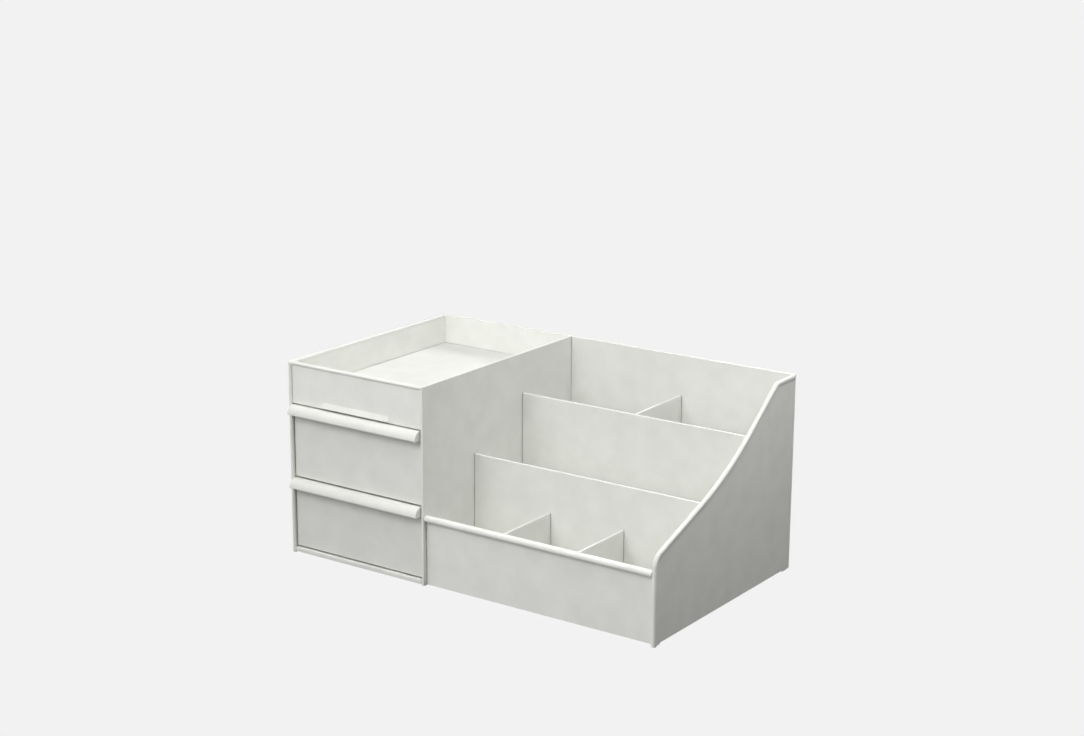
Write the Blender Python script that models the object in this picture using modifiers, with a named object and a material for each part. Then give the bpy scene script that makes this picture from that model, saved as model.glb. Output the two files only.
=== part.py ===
"""Desk organizer: a two-drawer cabinet with an open top tray, beside a stepped rack of open compartments.

Every panel is its own piece. The panels slot together: the edge of one is a tongue in a shallow groove of
the next, with a small fitting gap all round. Each drawer is a box, a flat front and a wide pull.

Units are metres. +X is to the right, +Y to the back, +Z up. The origin is at the middle of the footprint,
on the surface that the organizer stands on.
"""

from math import atan2, cos, hypot, pi, sin, tan

import bmesh
import bpy
from mathutils import Matrix, Vector

# Overall size. The drawer pulls stand in front of the panels, and DEPTH leaves them out.
WIDTH = 0.3206
DEPTH = 0.188
HEIGHT = 0.148
PULL_PROUD = 0.0055
CABINET_WIDTH = 0.1257

# Sheet thicknesses and fits.
PANEL = 0.0024
CENTRE_SHEET = 0.0020
BACK_SHEET = 0.0026
THIN = 0.0018
BEAD = 0.0030
SLOPE_BEAD = 0.0036
SLOPE_BEAD_PROUD = 0.0009
TRAY_BEAD = 0.0026
FRONT_BEAD = 0.0043
GAP = 0.0003
GROOVE = 0.0005
TONGUE = GROOVE - GAP
EDGE = 0.0005
BEAD_ROUND = 0.42
ARC_STEPS = 8

# Feet under the upright panels.
FOOT_LENGTH = 0.0075
FOOT_HEIGHT = 0.0010

# Heights, measured from the surface that the organizer stands on.
FRONT_PANEL_BOTTOM = 0.0005
RAIL_BOTTOM = 0.0008
BASE_TOP = 0.0046
SHELF_TOP = 0.0590
FLOOR_SHEET = 0.0022
TRAY_FLOOR_TOP = 0.1247
TRAY_FRONT_BOTTOM = 0.1162
FRONT_PANEL_TOP = 0.0528
MIDDLE_TOP = 0.0845
REAR_TOP = 0.1172
FRONT_DIVIDER_TOP = 0.0524

# How far the fronts are set back from the front edges of the upright panels.
TRAY_SETBACK = 0.0012
FRONT_SETBACK = 0.0036
DRAWER_SETBACK = 0.0024
BEAD_SETBACK = 0.0002

# Distances of the rack's cross walls from the front edges, and of its dividers from the left side.
MIDDLE_DEPTH = 0.0617
REAR_DEPTH = 0.1217
REAR_DIVIDER = 0.2248
FRONT_DIVIDERS = {"front_divider_left": 0.1927, "front_divider_right": 0.2553}

# Outline of the right side panel: two straight stretches with a long arc between them.
CORNER_HEIGHT = 0.0635
CORNER_RADIUS = 0.0106
BEND_DEPTH = 0.0932
BEND_HEIGHT = 0.0974
BEND_RADIUS = 0.247
CREST_DEPTH = 0.1600
CREST_RADIUS = 0.008

# Drawers.
DRAWER_SHEET = 0.0020
DRAWER_SIDE_GAP = 0.0004
DRAWER_LENGTH = 0.172
DRAWER_BOX_HEIGHT = 0.044
PULL_TOPS = {"upper": 0.1155, "lower": 0.0589}
PULL_STEPS = {"upper": 0.0017, "lower": 0.0024}
PULL_HEIGHT = 0.0070
PULL_ROUND = 0.0058
PULL_WALL = 0.0015
PULL_END_GAP = 0.0004
PULL_CLIP = 0.0060
PEG_RADIUS = 0.0020
PEG_SPREAD = 0.070

# How far a top that passes close under a front is cut down, so that the two can't rub.
RELIEF = 0.0010

# Small lip on the bottom edge of the tray front.
LIP_WIDTH = 0.0630
LIP_HEIGHT = 0.0042
LIP_REACH = 0.0018
LIP_RAISE = 0.0006
LIP_CORNER = 0.0030
LIP_SHEET = 0.0013

LEFT = -WIDTH / 2
RIGHT = WIDTH / 2
FRONT = (PULL_PROUD - DEPTH) / 2
BACK = FRONT + DEPTH
BACK_FACE = BACK - BACK_SHEET

# Faces of the upright panels that the other pieces meet.
SIDE_INSET = (BEAD - PANEL) / 2
LEFT_FACE = LEFT + SIDE_INSET + PANEL
RIGHT_FACE = RIGHT - SLOPE_BEAD_PROUD - PANEL
CENTRE_RIGHT = LEFT + CABINET_WIDTH
CENTRE_LEFT = CENTRE_RIGHT - CENTRE_SHEET

ORGANIZER = "desk_organizer"
HELPERS = "cutters"
WHITE = (0.87, 0.875, 0.85, 1)


def clear_scene():
    for old in list(bpy.data.objects):
        bpy.data.objects.remove(old, do_unlink=True)


def group(name):
    """The collection of this name, made and linked the first time."""
    found = bpy.data.collections.get(name)
    if found is None:
        found = bpy.data.collections.new(name)
        bpy.context.scene.collection.children.link(found)
    return found


def plastic(name, roughness):
    made = bpy.data.materials.new(name)
    made.use_nodes = True
    shader = made.node_tree.nodes["Principled BSDF"]
    shader.inputs["Base Color"].default_value = WHITE
    shader.inputs["Roughness"].default_value = roughness
    shader.inputs["Metallic"].default_value = 0.0
    return made


def add(name, mesh, helper=False):
    """An object for this mesh: a piece of the organizer, or a helper that only cuts or joins."""
    obj = bpy.data.objects.new(name, mesh)
    group(HELPERS if helper else ORGANIZER).objects.link(obj)
    if helper:
        obj.hide_render = True
        obj.display_type = "WIRE"
    else:
        mesh.materials.append(plastic(name + "_plastic", 0.45))
    return obj


def box(name, low, high, edge=0.0, helper=False):
    """A box between two opposite corners, with its own rounded edges."""
    low, high = Vector(low), Vector(high)
    shape = bmesh.new()
    bmesh.ops.create_cube(shape, size=1.0)
    bmesh.ops.scale(shape, vec=high - low, verts=shape.verts)
    mesh = bpy.data.meshes.new(name)
    shape.to_mesh(mesh)
    shape.free()
    obj = add(name, mesh, helper)
    obj.location = (low + high) / 2
    if edge:
        soften(obj, edge)
    return obj


def soften(obj, width, segments=2):
    """Rounds every sharp edge of a piece."""
    bevel = obj.modifiers.new("rounded_edges", "BEVEL")
    bevel.width = width
    bevel.segments = segments
    bevel.limit_method = "ANGLE"
    bevel.angle_limit = pi / 5


def combine(obj, other, operation):
    modifier = obj.modifiers.new(other.name, "BOOLEAN")
    modifier.operation = operation
    modifier.solver = "EXACT"
    modifier.object = other


def cut(obj, low, high):
    """Cuts a box-shaped groove or opening out of a piece."""
    tool = box(f"{obj.name}_cut_{len(obj.modifiers)}", low, high, helper=True)
    combine(obj, tool, "DIFFERENCE")


def extend(obj, low, high, edge=0.0):
    """Joins a box-shaped tongue or rail to a piece."""
    added = box(f"{obj.name}_add_{len(obj.modifiers)}", low, high, edge, helper=True)
    combine(obj, added, "UNION")


def round_corners(corners, steps):
    """Points of an outline given as (along, up, radius) corners; each radius becomes an arc."""
    points = []
    for i, (along, up, radius) in enumerate(corners):
        here = Vector((along, up))
        if radius == 0:
            points.append(here)
            continue
        before = Vector(corners[i - 1][:2]) - here
        after = Vector(corners[(i + 1) % len(corners)][:2]) - here
        before.normalize()
        after.normalize()
        half = before.angle(after) / 2
        middle = here + (before + after).normalized() * radius / sin(half)
        start = here + before * radius / tan(half) - middle
        end = here + after * radius / tan(half) - middle
        turn = atan2(start.cross(end), start.dot(end))
        for step in range(steps + 1):
            angle = turn * step / steps
            points.append(middle + Matrix.Rotation(angle, 2) @ start)
    return points


def mesh_of_curve(curve, name):
    """The mesh that a curve makes, with its caps welded on."""
    guide = bpy.data.objects.new(name, curve)
    group(HELPERS).objects.link(guide)
    graph = bpy.context.evaluated_depsgraph_get()
    mesh = bpy.data.meshes.new_from_object(guide.evaluated_get(graph))
    bpy.data.objects.remove(guide, do_unlink=True)
    bpy.data.curves.remove(curve)
    shape = bmesh.new()
    shape.from_mesh(mesh)
    bmesh.ops.remove_doubles(shape, verts=shape.verts, dist=1e-6)
    bmesh.ops.dissolve_limit(shape, angle_limit=0.001, verts=shape.verts, edges=shape.edges)
    bmesh.ops.recalc_face_normals(shape, faces=shape.faces)
    shape.to_mesh(mesh)
    shape.free()
    return mesh


def spline(curve, points, closed):
    line = curve.splines.new("POLY")
    line.points.add(len(points) - 1)
    for point, place in zip(line.points, points):
        point.co = (place[0], place[1], place[2] if len(place) > 2 else 0.0, 1.0)
    line.use_cyclic_u = closed


def sheet(name, points, thickness, helper=False):
    """A flat sheet of this outline, in its own XY plane."""
    curve = bpy.data.curves.new(name, "CURVE")
    curve.dimensions = "2D"
    curve.fill_mode = "BOTH"
    curve.extrude = thickness / 2
    spline(curve, points, closed=True)
    return add(name, mesh_of_curve(curve, name), helper)


# Turns a sheet's own X and Y into the organizer's Y and Z, and its thickness into X.
UPRIGHT = Matrix(((0, 0, 1), (1, 0, 0), (0, 1, 0))).to_4x4()


def stand_up(obj, x, y=0.0, z=0.0):
    obj.matrix_world = Matrix.Translation((x, y, z)) @ UPRIGHT


def top_corners(sloping, inset):
    """Corners of a side panel's upper outline, from the front edge to the back, set in by inset."""
    if not sloping:
        return [(inset, HEIGHT - inset, 0)]
    first = atan2(BEND_HEIGHT - CORNER_HEIGHT, BEND_DEPTH)
    second = atan2(HEIGHT - BEND_HEIGHT, CREST_DEPTH - BEND_DEPTH)
    middle = (first + second) / 2
    shift = inset / cos(second - middle)
    return [
        (inset, CORNER_HEIGHT + inset * (tan(first) - 1 / cos(first)), CORNER_RADIUS - inset),
        (BEND_DEPTH + shift * sin(middle), BEND_HEIGHT - shift * cos(middle), BEND_RADIUS + inset),
        (CREST_DEPTH + inset * tan(second / 2), HEIGHT - inset, CREST_RADIUS - inset),
    ]


def side_panel(name, x, bead_x, bead_size, sloping):
    """An outer panel: a sheet on two feet, with a round bead along its front and top edge."""
    back = DEPTH - BACK_SHEET - GAP
    spare = 2 * bead_size
    inset = bead_size / 4
    outline = [
        (inset, -spare, 0),
        (FOOT_LENGTH, -spare, 0),
        (FOOT_LENGTH, 0, 0),
        (FOOT_LENGTH + FOOT_HEIGHT, FOOT_HEIGHT, 0),
        (back - FOOT_LENGTH - FOOT_HEIGHT, FOOT_HEIGHT, 0),
        (back - FOOT_LENGTH, 0, 0),
        (back - FOOT_LENGTH, -spare, 0),
        (back + spare, -spare, 0),
        (back + spare, HEIGHT - inset, 0),
        *reversed(top_corners(sloping, inset)),
    ]
    panel = sheet(name, round_corners(outline, ARC_STEPS), PANEL)
    stand_up(panel, x, FRONT)

    outline = [
        (0, -spare, 0),
        *top_corners(sloping, 0),
        (back + spare, HEIGHT, 0),
        (back + spare, HEIGHT - bead_size, 0),
        *reversed(top_corners(sloping, bead_size)),
        (bead_size, -spare, 0),
    ]
    bead = sheet(name + "_bead", round_corners(outline, ARC_STEPS), bead_size, helper=True)
    stand_up(bead, bead_x, FRONT)
    soften(bead, bead_size * BEAD_ROUND, 4)
    combine(panel, bead, "UNION")
    wide = (x - bead_size, x + bead_size)
    cut(panel, (wide[0], FRONT - spare, -3 * spare), (wide[1], BACK + 2 * spare, 0))
    cut(panel, (wide[0], FRONT + back, -spare), (wide[1], BACK + 3 * spare, HEIGHT + spare))
    return panel


def upright_plain(name, x, thickness, front, back):
    """An inner upright panel on two feet, with rounded edges."""
    outline = [
        (front, 0, 0),
        (front + FOOT_LENGTH, 0, 0),
        (front + FOOT_LENGTH + FOOT_HEIGHT, FOOT_HEIGHT, 0),
        (back - FOOT_LENGTH - FOOT_HEIGHT, FOOT_HEIGHT, 0),
        (back - FOOT_LENGTH, 0, 0),
        (back, 0, 0),
        (back, HEIGHT, 0),
        (front, HEIGHT, 0),
    ]
    panel = sheet(name, [Vector(corner[:2]) for corner in outline], thickness)
    stand_up(panel, x)
    soften(panel, EDGE * 2 / 3)
    return panel


def groove_for(panel, face, side, low, high):
    """A groove in a face at X = face that takes a tongue between low and high (Y and Z of each)."""
    deep = face - side * GROOVE
    clear = face + side * BEAD
    cut(
        panel,
        (min(deep, clear), low[0] - GAP, low[1] - GAP),
        (max(deep, clear), high[0] + GAP, high[1] + GAP),
    )


def cabinet_floors():
    """Name, front edge and top height of each level sheet in the drawer cabinet."""
    tray_front_back = FRONT + TRAY_SETBACK + FLOOR_SHEET
    return {
        "tray_floor": (tray_front_back - TONGUE, TRAY_FLOOR_TOP),
        "drawer_shelf": (FRONT + DRAWER_SETBACK + PULL_CLIP, SHELF_TOP),
        "drawer_bay_base": (FRONT + BEAD + 3 * GAP, BASE_TOP),
    }


def rack_walls():
    """Front face, thickness, top and bottom of each cross wall in the rack, as far as its grooves go.

    The grooves for the front panel are open at the bottom.
    """
    return {
        "front_panel": (FRONT + FRONT_SETBACK, FLOOR_SHEET, FRONT_PANEL_TOP - FRONT_BEAD / 2, -BEAD),
        "middle_partition": (FRONT + MIDDLE_DEPTH - THIN / 2, THIN, MIDDLE_TOP, BASE_TOP + GAP),
        "rear_partition": (FRONT + REAR_DEPTH - THIN / 2, THIN, REAR_TOP, BASE_TOP + GAP),
    }


def make_uprights():
    x = LEFT + BEAD / 2
    left = side_panel("left_side_panel", x, x, BEAD, sloping=False)
    x = RIGHT_FACE + PANEL / 2
    right = side_panel("right_side_panel", x, RIGHT - SLOPE_BEAD / 2, SLOPE_BEAD, sloping=True)
    middle = (CENTRE_LEFT + CENTRE_RIGHT) / 2
    centre = upright_plain("centre_panel", middle, CENTRE_SHEET, FRONT, BACK_FACE + TONGUE)
    for front, top in cabinet_floors().values():
        low, high = (front, top - FLOOR_SHEET), (BACK, top)
        groove_for(left, LEFT_FACE, 1, low, high)
        groove_for(centre, CENTRE_LEFT, -1, low, high)
    for face, thickness, top, bottom in rack_walls().values():
        low, high = (face, bottom), (face + thickness, top)
        groove_for(centre, CENTRE_RIGHT, 1, low, high)
        groove_for(right, RIGHT_FACE, -1, low, high)
    low = (FRONT + FRONT_SETBACK + FLOOR_SHEET, BASE_TOP - FLOOR_SHEET)
    groove_for(centre, CENTRE_RIGHT, 1, low, (BACK, BASE_TOP))
    groove_for(right, RIGHT_FACE, -1, low, (BACK, BASE_TOP))


def make_back_panel():
    sides = (LEFT + SIDE_INSET, RIGHT - SLOPE_BEAD_PROUD)
    back = box("back_panel", (sides[0], BACK_FACE, 0), (sides[1], BACK, HEIGHT), EDGE)
    deep = BACK_FACE + GROOVE
    near = BACK_FACE - BEAD
    cut(back, (LEFT + FOOT_LENGTH, near, -BEAD), (RIGHT - FOOT_LENGTH, BACK + BEAD, FOOT_HEIGHT))
    cut(back, (CENTRE_LEFT - GAP, near, -BEAD), (CENTRE_RIGHT + GAP, deep, HEIGHT + BEAD))
    for _, top in cabinet_floors().values():
        low = (LEFT_FACE - TONGUE, near, top - FLOOR_SHEET - GAP)
        cut(back, low, (CENTRE_LEFT + GAP, deep, top + GAP))
    low = (CENTRE_RIGHT - GAP, near, BASE_TOP - FLOOR_SHEET - GAP)
    cut(back, low, (RIGHT_FACE + TONGUE, deep, BASE_TOP + GAP))
    x = LEFT + REAR_DIVIDER
    cut(back, (x - THIN / 2 - GAP, near, BASE_TOP), (x + THIN / 2 + GAP, deep, REAR_TOP + GAP))


def make_cabinet_floors():
    for name, (front, top) in cabinet_floors().items():
        low = (LEFT_FACE - TONGUE, front, top - FLOOR_SHEET)
        floor = box(name, low, (CENTRE_LEFT + TONGUE, BACK_FACE + TONGUE, top), EDGE / 2)
        if name == "drawer_bay_base":
            low = (LEFT + BEAD + GAP, FRONT + BEAD_SETBACK, RAIL_BOTTOM)
            extend(floor, low, (CENTRE_LEFT - GAP, front + BEAD, top - GAP / 3), PANEL / 3)
            cut(floor, (LEFT, front, -BEAD), (CENTRE_RIGHT, front + 2 * BEAD, top - FLOOR_SHEET))
            low = (LEFT + BEAD - GAP, FRONT + DRAWER_SETBACK, top - RELIEF)
            cut(floor, low, (CENTRE_LEFT, low[1] + DRAWER_SHEET + BEAD, top + BEAD))


def beaded_front(name, x, z, setback, thickness, tongue, bead_height):
    """A front panel between two uprights, with a round bead on its top edge that comes forward."""
    face = FRONT + setback
    low = (x[0] - tongue, face, z[0])
    front = box(name, low, (x[1] + tongue, face + thickness, z[1] - bead_height / 2), EDGE / 2)
    ends = (x[0] - bead_height, x[1] + bead_height)
    low = (ends[0], FRONT + BEAD_SETBACK, z[1] - bead_height)
    high = (ends[1], face + thickness - EDGE / 4, z[1])
    bead = box(name + "_bead", low, high, helper=True)
    soften(bead, bead_height * BEAD_ROUND, 4)
    for inner, outer in ((x[0] + GAP, 2 * ends[0] - x[0]), (x[1] - GAP, 2 * ends[1] - x[1])):
        low = (min(inner, outer), FRONT - bead_height, z[1] - 2 * bead_height)
        cut(bead, low, (max(inner, outer), high[1] + bead_height, z[1] + bead_height))
    combine(front, bead, "UNION")
    return front


def make_tray_front():
    x = (LEFT + BEAD, CENTRE_LEFT)
    z = (TRAY_FRONT_BOTTOM, HEIGHT)
    front = beaded_front("tray_front_panel", x, z, TRAY_SETBACK, FLOOR_SHEET, -GAP, TRAY_BEAD)
    inner = FRONT + TRAY_SETBACK + FLOOR_SHEET
    low = (LEFT, inner - GROOVE, TRAY_FLOOR_TOP - FLOOR_SHEET - GAP)
    cut(front, low, (CENTRE_RIGHT, inner + BEAD, TRAY_FLOOR_TOP + GAP))

    half = LIP_WIDTH / 2
    tilt = atan2(LIP_REACH, LIP_HEIGHT)
    length = hypot(LIP_REACH, LIP_HEIGHT)
    outline = [(-half, 0, 0), (half, 0, 0), (half, length, LIP_CORNER), (-half, length, LIP_CORNER)]
    lip = sheet("tray_front_lip", round_corners(outline, 6), LIP_SHEET, helper=True)
    soften(lip, LIP_SHEET / 4)
    lean = Matrix(((1, 0, 0), (0, sin(tilt), -cos(tilt)), (0, cos(tilt), sin(tilt)))).to_4x4()
    foot = FRONT + TRAY_SETBACK - LIP_REACH + LIP_SHEET / 2 * cos(tilt)
    middle = (x[0] + x[1]) / 2
    raise_lip = TRAY_FRONT_BOTTOM + LIP_RAISE + LIP_SHEET / 2 * sin(tilt)
    lip.matrix_world = Matrix.Translation((middle, foot, raise_lip)) @ lean
    combine(front, lip, "UNION")


def make_rack():
    x = (CENTRE_RIGHT, RIGHT_FACE)
    walls = rack_walls()
    z = (FRONT_PANEL_BOTTOM, FRONT_PANEL_TOP)
    front = beaded_front("front_panel", x, z, FRONT_SETBACK, FLOOR_SHEET, TONGUE, FRONT_BEAD)
    face = walls["front_panel"][0] + FLOOR_SHEET
    low = (RIGHT - SLOPE_BEAD - GAP, FRONT - BEAD, 0)
    cut(front, low, (RIGHT, FRONT + FRONT_SETBACK - GAP, HEIGHT))
    low = (CENTRE_LEFT, face - GROOVE, BASE_TOP - FLOOR_SHEET - GAP)
    cut(front, low, (RIGHT, face + BEAD, BASE_TOP + GAP))

    low = (x[0] - TONGUE, face - TONGUE, BASE_TOP - FLOOR_SHEET)
    box("compartment_base", low, (x[1] + TONGUE, BACK_FACE + TONGUE, BASE_TOP), EDGE / 2)

    made = {"front_panel": front}
    for name in ("middle_partition", "rear_partition"):
        face, thickness, top, bottom = walls[name]
        low = (x[0] - TONGUE, face, bottom)
        made[name] = box(name, low, (x[1] + TONGUE, face + thickness, top), EDGE)

    for name, place in FRONT_DIVIDERS.items():
        divider(name, place, "front_panel", "middle_partition", FRONT_DIVIDER_TOP, made)
    divider("rear_divider", REAR_DIVIDER, "rear_partition", None, REAR_TOP, made)


def divider(name, place, ahead, behind, top, made):
    """A divider that runs front to back between two walls, in a groove in each."""
    walls = rack_walls()
    x = LEFT + place
    start = walls[ahead][0] + walls[ahead][1]
    end = BACK_FACE if behind is None else walls[behind][0]
    bottom = BASE_TOP + GAP
    low = (x - THIN / 2, start - TONGUE, bottom)
    box(name, low, (x + THIN / 2, end + TONGUE, top), EDGE)
    wide = THIN / 2 + GAP
    cut(made[ahead], (x - wide, start - GROOVE, bottom - 2 * GAP), (x + wide, start + BEAD, top + GAP))
    if behind:
        low = (x - wide, end - BEAD, bottom - 2 * GAP)
        cut(made[behind], low, (x + wide, end + GROOVE, top + GAP))


def make_pull(name, x, top, step):
    """A wide bar, curled over in front and hollow below for the fingers, that clips over a drawer front.

    Its top steps down at this distance behind the front edges.
    """
    length = x[1] - x[0]
    middle = (x[0] + x[1]) / 2
    back = DRAWER_SETBACK + DRAWER_SHEET + GAP + PULL_WALL
    outline = [
        (back, -RELIEF, EDGE),
        (back, -PULL_CLIP, EDGE),
        (back - PULL_WALL, -PULL_CLIP - GAP, 0),
        (-PULL_PROUD + PULL_WALL, -PULL_HEIGHT, PULL_WALL / 2),
        (-PULL_PROUD, -PULL_HEIGHT, PULL_WALL / 2),
        (-PULL_PROUD, 0, PULL_ROUND),
        (step, 0, GAP),
        (step, -RELIEF, 0),
    ]
    pull = sheet(name, round_corners(outline, 8), length)
    stand_up(pull, middle, FRONT, top)

    hollow_back = DRAWER_SETBACK - GAP - PULL_WALL
    hollow = [
        (hollow_back, -PULL_WALL, GAP / 2),
        (hollow_back, -2 * PULL_HEIGHT, 0),
        (-PULL_PROUD + PULL_WALL, -2 * PULL_HEIGHT, 0),
        (-PULL_PROUD + PULL_WALL, -PULL_WALL, PULL_ROUND - PULL_WALL),
    ]
    tool = sheet(name + "_hollow", round_corners(hollow, 6), length - 2 * PULL_WALL, helper=True)
    stand_up(tool, middle, FRONT, top)
    combine(pull, tool, "DIFFERENCE")

    front = FRONT + DRAWER_SETBACK
    low = (x[0] - BEAD, front - GAP, top - 2 * PULL_HEIGHT)
    cut(pull, low, (x[1] + BEAD, front + DRAWER_SHEET + GAP, top - RELIEF - PULL_WALL))
    return pull


def make_drawer_box(name, x, z):
    front = FRONT + DRAWER_SETBACK + DRAWER_SHEET + GAP
    body = box(name, (x[0], front, z[0]), (x[1], front + DRAWER_LENGTH, z[1]), EDGE)
    low = (x[0] + THIN, front + THIN, z[0] + THIN)
    high = (x[1] - THIN, front + DRAWER_LENGTH - THIN, z[1] + BEAD)
    inside = box(name + "_inside", low, high, 2 * EDGE, helper=True)
    combine(body, inside, "DIFFERENCE")
    return body


def peg(name, radius, x, y, z):
    """A short round peg along Y, from y[0] to y[1]."""
    shape = bmesh.new()
    bmesh.ops.create_cone(
        shape, cap_ends=True, segments=16, radius1=radius, radius2=radius, depth=y[1] - y[0]
    )
    bmesh.ops.rotate(shape, verts=shape.verts, matrix=Matrix.Rotation(pi / 2, 3, "X"))
    mesh = bpy.data.meshes.new(name)
    shape.to_mesh(mesh)
    shape.free()
    made = add(name, mesh, helper=True)
    made.location = (x, (y[0] + y[1]) / 2, z)
    return made


def make_drawer(level, shelf):
    """A drawer that rests on a shelf: its box, front and pull, all under one empty on its slide."""
    name = level + "_drawer"
    top = PULL_TOPS[level]
    opening = (LEFT + BEAD, CENTRE_LEFT)
    x = (opening[0] + DRAWER_SIDE_GAP, opening[1] - DRAWER_SIDE_GAP)
    face = FRONT + DRAWER_SETBACK

    body = make_drawer_box(name + "_box", x, (shelf + GAP, shelf + GAP + DRAWER_BOX_HEIGHT))
    low = (x[0], face, shelf + 2 * GAP)
    high = (x[1], face + DRAWER_SHEET, top - RELIEF - PULL_WALL - GAP)
    front = box(name + "_front", low, high, EDGE)
    width = (x[0] + PULL_END_GAP, x[1] - PULL_END_GAP)
    pull = make_pull(name + "_pull", width, top, PULL_STEPS[level])

    middle = (x[0] + x[1]) / 2
    height = shelf + DRAWER_BOX_HEIGHT / 2
    for side in (-1, 1):
        place = middle + side * PEG_SPREAD / 2
        y = (face + DRAWER_SHEET / 2, face + DRAWER_SHEET + 2 * THIN)
        combine(front, peg(f"{name}_peg_{side}", PEG_RADIUS, place, y, height), "UNION")
        hole = (y[0], y[1] + THIN)
        combine(body, peg(f"{name}_hole_{side}", PEG_RADIUS + GAP, place, hole, height), "DIFFERENCE")

    slide = bpy.data.objects.new(name + "_slide", None)
    group(ORGANIZER).objects.link(slide)
    slide.location = (middle, face, height)
    bpy.context.view_layer.update()
    for piece in (body, front, pull):
        piece.parent = slide
        piece.matrix_parent_inverse = slide.matrix_world.inverted()


def smooth_shading():
    for obj in group(ORGANIZER).objects:
        if obj.type == "MESH":
            obj.data.shade_smooth()
            obj.data.set_sharp_from_angle(angle=pi / 6)


clear_scene()
make_uprights()
make_back_panel()
make_cabinet_floors()
make_tray_front()
make_rack()
make_drawer("upper", SHELF_TOP)
make_drawer("lower", BASE_TOP)
smooth_shading()
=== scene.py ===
"""Looks of the desk organizer: satin moulded plastic, a pale studio floor, soft light and the camera.

Everything is in metres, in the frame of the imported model: +X to the right, +Y to the back, +Z up.
"""

from math import cos, radians, sin

import bpy
from mathutils import Matrix, Vector

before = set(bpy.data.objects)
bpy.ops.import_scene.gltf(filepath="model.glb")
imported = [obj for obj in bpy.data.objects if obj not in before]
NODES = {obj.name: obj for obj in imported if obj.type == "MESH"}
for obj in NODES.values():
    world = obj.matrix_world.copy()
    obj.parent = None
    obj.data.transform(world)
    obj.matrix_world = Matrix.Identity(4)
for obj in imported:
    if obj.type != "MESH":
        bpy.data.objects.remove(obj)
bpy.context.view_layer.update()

# Camera: the lens in mm, the angles in radians.
LENS = 68.0
CAMERA_PLACE = (0.8258, -1.1734, 0.5283)
CAMERA_AZIMUTH = 0.6111
CAMERA_ELEVATION = 0.2590
CAMERA_ROLL = 0.0056

# Softened edges of the pieces: the radius, and the least angle of an edge that counts as sharp.
EDGE_ROUND = 0.00022
EDGE_ANGLE = radians(34)
SAME_POINT = 0.00001
SAME_PLANE = radians(0.5)

# White plastic. Scales are per metre, and each piece's pattern starts a step away from the last one's.
PATTERN_STEP = (0.37, 0.21, 0.13)
CLOUD_SCALE = 62.0
CLOUD_DARK = (0.777, 0.785, 0.746)
CLOUD_PALE = (0.827, 0.832, 0.793)
GLOSS_SCALE = 60.0
SMOOTHEST = 0.40
ROUGHEST = 0.52
GRAIN_SCALE = 2600.0
GRAIN_DEPTH = 0.00003

# Pieces painted a little darker or paler than the rest, in place of the light and shade each one gets:
# painted shade on the drawer fronts and tray floor, painted light on the tray front and front panel.
PAINTED_LIGHT_TONES = {
    "upper_drawer_front": 0.97,
    "lower_drawer_front": 0.95,
    "tray_front_panel": 1.03,
    "front_panel": 1.03,
    "tray_floor": 0.95,
}

# Floor and light. The surround is brighter on the left.
FLOOR_SIZE = 20.0
FLOOR_BRIGHTNESS = 0.888
LIGHTS_AIM = (0.0, 0.0, 0.08)
SURROUND_PLAIN = 0.07
SURROUND_LEFT = 0.867


def link(obj):
    """Puts an object in the scene."""
    bpy.context.scene.collection.objects.link(obj)
    return obj


# ---------------------------------------------------------------- camera


def make_camera():
    """A camera that looks along its azimuth, down by its elevation, and turned by its roll."""
    forward = Vector(
        (
            -sin(CAMERA_AZIMUTH) * cos(CAMERA_ELEVATION),
            cos(CAMERA_AZIMUTH) * cos(CAMERA_ELEVATION),
            -sin(CAMERA_ELEVATION),
        )
    )
    level = Vector((cos(CAMERA_AZIMUTH), sin(CAMERA_AZIMUTH), 0.0))
    upward = level.cross(forward)
    right = level * cos(CAMERA_ROLL) + upward * sin(CAMERA_ROLL)
    top = upward * cos(CAMERA_ROLL) - level * sin(CAMERA_ROLL)
    lens = bpy.data.cameras.new("camera")
    lens.lens = LENS
    lens.sensor_width = 36.0
    lens.clip_start = 0.05
    lens.clip_end = 50.0
    camera = link(bpy.data.objects.new("camera", lens))
    turn = Matrix((right, top, -forward)).transposed().to_4x4()
    camera.matrix_world = Matrix.Translation(CAMERA_PLACE) @ turn
    bpy.context.scene.camera = camera


# ---------------------------------------------------------------- materials


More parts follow.
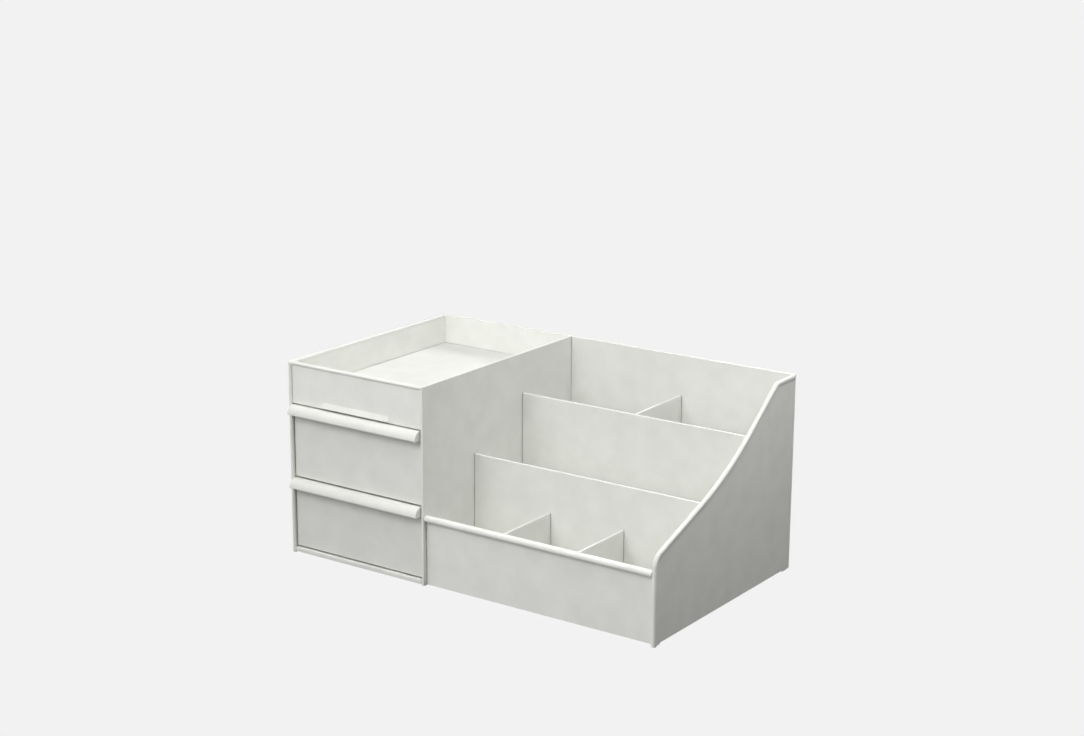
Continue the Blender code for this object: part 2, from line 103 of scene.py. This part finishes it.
def moulded_plastic(name, number, painted_light_tone):
    """Warm white satin plastic with a cloudy tint and a fine moulded grain, painted darker or paler by
    the piece's tone in place of light and shade.
    """
    made = bpy.data.materials.new(name)
    made.use_nodes = True
    nodes = made.node_tree.nodes
    links = made.node_tree.links
    shader = nodes["Principled BSDF"]
    shader.inputs["IOR"].default_value = 1.47
    shader.inputs["Specular IOR Level"].default_value = 0.28

    place = nodes.new("ShaderNodeTexCoord")
    shift = nodes.new("ShaderNodeMapping")
    shift.inputs["Location"].default_value = [step * number for step in PATTERN_STEP]
    links.new(place.outputs["Object"], shift.inputs["Vector"])

    def noise(scale, detail):
        node = nodes.new("ShaderNodeTexNoise")
        node.inputs["Scale"].default_value = scale
        node.inputs["Detail"].default_value = detail
        links.new(shift.outputs["Vector"], node.inputs["Vector"])
        return node.outputs["Fac"]

    def spread(value, low, high, least, most):
        """Stretches a value from low..high to least..most."""
        node = nodes.new("ShaderNodeMapRange")
        node.inputs["From Min"].default_value = low
        node.inputs["From Max"].default_value = high
        node.inputs["To Min"].default_value = least
        node.inputs["To Max"].default_value = most
        links.new(value, node.inputs["Value"])
        return node.outputs["Result"]

    def mix(factor, first, second):
        node = nodes.new("ShaderNodeMix")
        node.data_type = "RGBA"
        links.new(factor, node.inputs["Factor"])
        node.inputs["A"].default_value = (*first, 1)
        node.inputs["B"].default_value = (*second, 1)
        return node.outputs["Result"]

    # Noise seldom leaves the middle of its range, so only that part is stretched.
    # The piece's tone paints light or shade into both cloud colours.
    dark, pale = (tuple(part * painted_light_tone for part in colour) for colour in (CLOUD_DARK, CLOUD_PALE))
    cloud = mix(spread(noise(CLOUD_SCALE, 4.0), 0.32, 0.68, 0.0, 1.0), dark, pale)
    links.new(cloud, shader.inputs["Base Color"])

    gloss = spread(noise(GLOSS_SCALE, 4.0), 0.3, 0.7, SMOOTHEST, ROUGHEST)
    links.new(gloss, shader.inputs["Roughness"])

    grain = nodes.new("ShaderNodeBump")
    grain.inputs["Strength"].default_value = 0.12
    grain.inputs["Distance"].default_value = GRAIN_DEPTH
    links.new(noise(GRAIN_SCALE, 2.0), grain.inputs["Height"])
    links.new(grain.outputs["Normal"], shader.inputs["Normal"])
    return made


# ---------------------------------------------------------------- pieces


def refine(obj):
    """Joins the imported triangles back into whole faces, and rounds the edges that are sharp."""
    mesh = obj.data
    if mesh.has_custom_normals:
        mesh.attributes.remove(mesh.attributes["custom_normal"])
    sharp = mesh.attributes.get("sharp_edge")
    if sharp:
        mesh.attributes.remove(sharp)
    mesh.shade_smooth()
    weld = obj.modifiers.new("weld", "WELD")
    weld.merge_threshold = SAME_POINT
    flat = obj.modifiers.new("flat_faces", "DECIMATE")
    flat.decimate_type = "DISSOLVE"
    flat.angle_limit = SAME_PLANE
    bevel = obj.modifiers.new("soft_edges", "BEVEL")
    bevel.width = EDGE_ROUND
    bevel.segments = 2
    bevel.limit_method = "ANGLE"
    bevel.angle_limit = EDGE_ANGLE
    bevel.use_clamp_overlap = True
    normals = obj.modifiers.new("weighted_normals", "WEIGHTED_NORMAL")
    normals.keep_sharp = True
    normals.weight = 80


def dress_nodes():
    """Gives each piece its own plastic, with its own pattern and its tone of painted light or shade,
    and soft edges.
    """
    for number, (name, obj) in enumerate(sorted(NODES.items())):
        obj.data.materials.clear()
        obj.data.materials.append(moulded_plastic(name + "_plastic", number, PAINTED_LIGHT_TONES.get(name, 1.0)))
        refine(obj)


# ---------------------------------------------------------------- floor and light


def make_floor():
    """A plain pale floor with far walls and a ceiling of the same paint, which light nothing."""
    half = FLOOR_SIZE / 2
    square = ((-half, -half), (half, -half), (half, half), (-half, half))
    corners = [(x, y, z) for z in (0, half) for x, y in square]
    walls = [(i, (i + 1) % 4, (i + 1) % 4 + 4, i + 4) for i in range(4)]
    mesh = bpy.data.meshes.new("floor")
    mesh.from_pydata(corners, [], [(0, 1, 2, 3), (4, 5, 6, 7), *walls])
    floor = link(bpy.data.objects.new("floor", mesh))
    made = bpy.data.materials.new("floor_paint")
    made.use_nodes = True
    nodes = made.node_tree.nodes
    links = made.node_tree.links
    nodes.remove(nodes["Principled BSDF"])
    glow = nodes.new("ShaderNodeEmission")
    glow.inputs["Color"].default_value = (FLOOR_BRIGHTNESS,) * 3 + (1,)
    links.new(glow.outputs["Emission"], nodes["Material Output"].inputs["Surface"])
    mesh.materials.append(made)
    floor.visible_diffuse = False
    floor.visible_glossy = False
    floor.visible_shadow = False


def soft_light(name, place, size, power):
    """A square soft box that points at the middle of the object."""
    lamp = bpy.data.lights.new(name, "AREA")
    lamp.shape = "SQUARE"
    lamp.size = size
    lamp.energy = power
    obj = link(bpy.data.objects.new(name, lamp))
    obj.location = place
    obj.rotation_euler = (Vector(LIGHTS_AIM) - Vector(place)).to_track_quat("-Z", "Y").to_euler()
    obj.visible_camera = False


def make_surround():
    """A plain surround that grows brighter towards the left."""
    world = bpy.data.worlds.new("studio")
    world.use_nodes = True
    bpy.context.scene.world = world
    nodes = world.node_tree.nodes
    links = world.node_tree.links
    nodes["Background"].inputs["Color"].default_value = (1.0, 1.0, 1.0, 1.0)
    place = nodes.new("ShaderNodeTexCoord")
    facing = nodes.new("ShaderNodeVectorMath")
    facing.operation = "DOT_PRODUCT"
    facing.inputs[1].default_value = (-1.0, 0.0, 0.0)
    links.new(place.outputs["Generated"], facing.inputs[0])
    left = nodes.new("ShaderNodeMath")
    left.operation = "MAXIMUM"
    left.inputs[1].default_value = 0.0
    links.new(facing.outputs["Value"], left.inputs[0])
    total = nodes.new("ShaderNodeMath")
    total.operation = "MULTIPLY_ADD"
    total.inputs[1].default_value = SURROUND_LEFT
    total.inputs[2].default_value = SURROUND_PLAIN
    links.new(left.outputs["Value"], total.inputs[0])
    links.new(total.outputs["Value"], nodes["Background"].inputs["Strength"])


def make_lights():
    """Soft boxes round the object, in watts, in a dim surround."""
    make_surround()
    soft_light("front_high", (0.0, -1.68, 1.09), 1.3, 13.9)
    soft_light("front_over", (0.0, -0.7, 1.1), 0.5, 1.6)
    soft_light("front_near", (-0.1, -0.5, 0.45), 0.2, 0.56)
    soft_light("right_high", (0.46, -0.2, 0.8), 0.4, 2.88)
    soft_light("right_near", (0.4, 0.05, 0.32), 0.2, 0.25)
    soft_light("back_high", (0.0, 1.4, 1.4), 0.9, 19.9)
    soft_light("back_right", (1.4, 1.4, 0.24), 1.3, 4.4)


make_camera()
dress_nodes()
make_floor()
make_lights()
bpy.context.scene.view_settings.view_transform = "Standard"
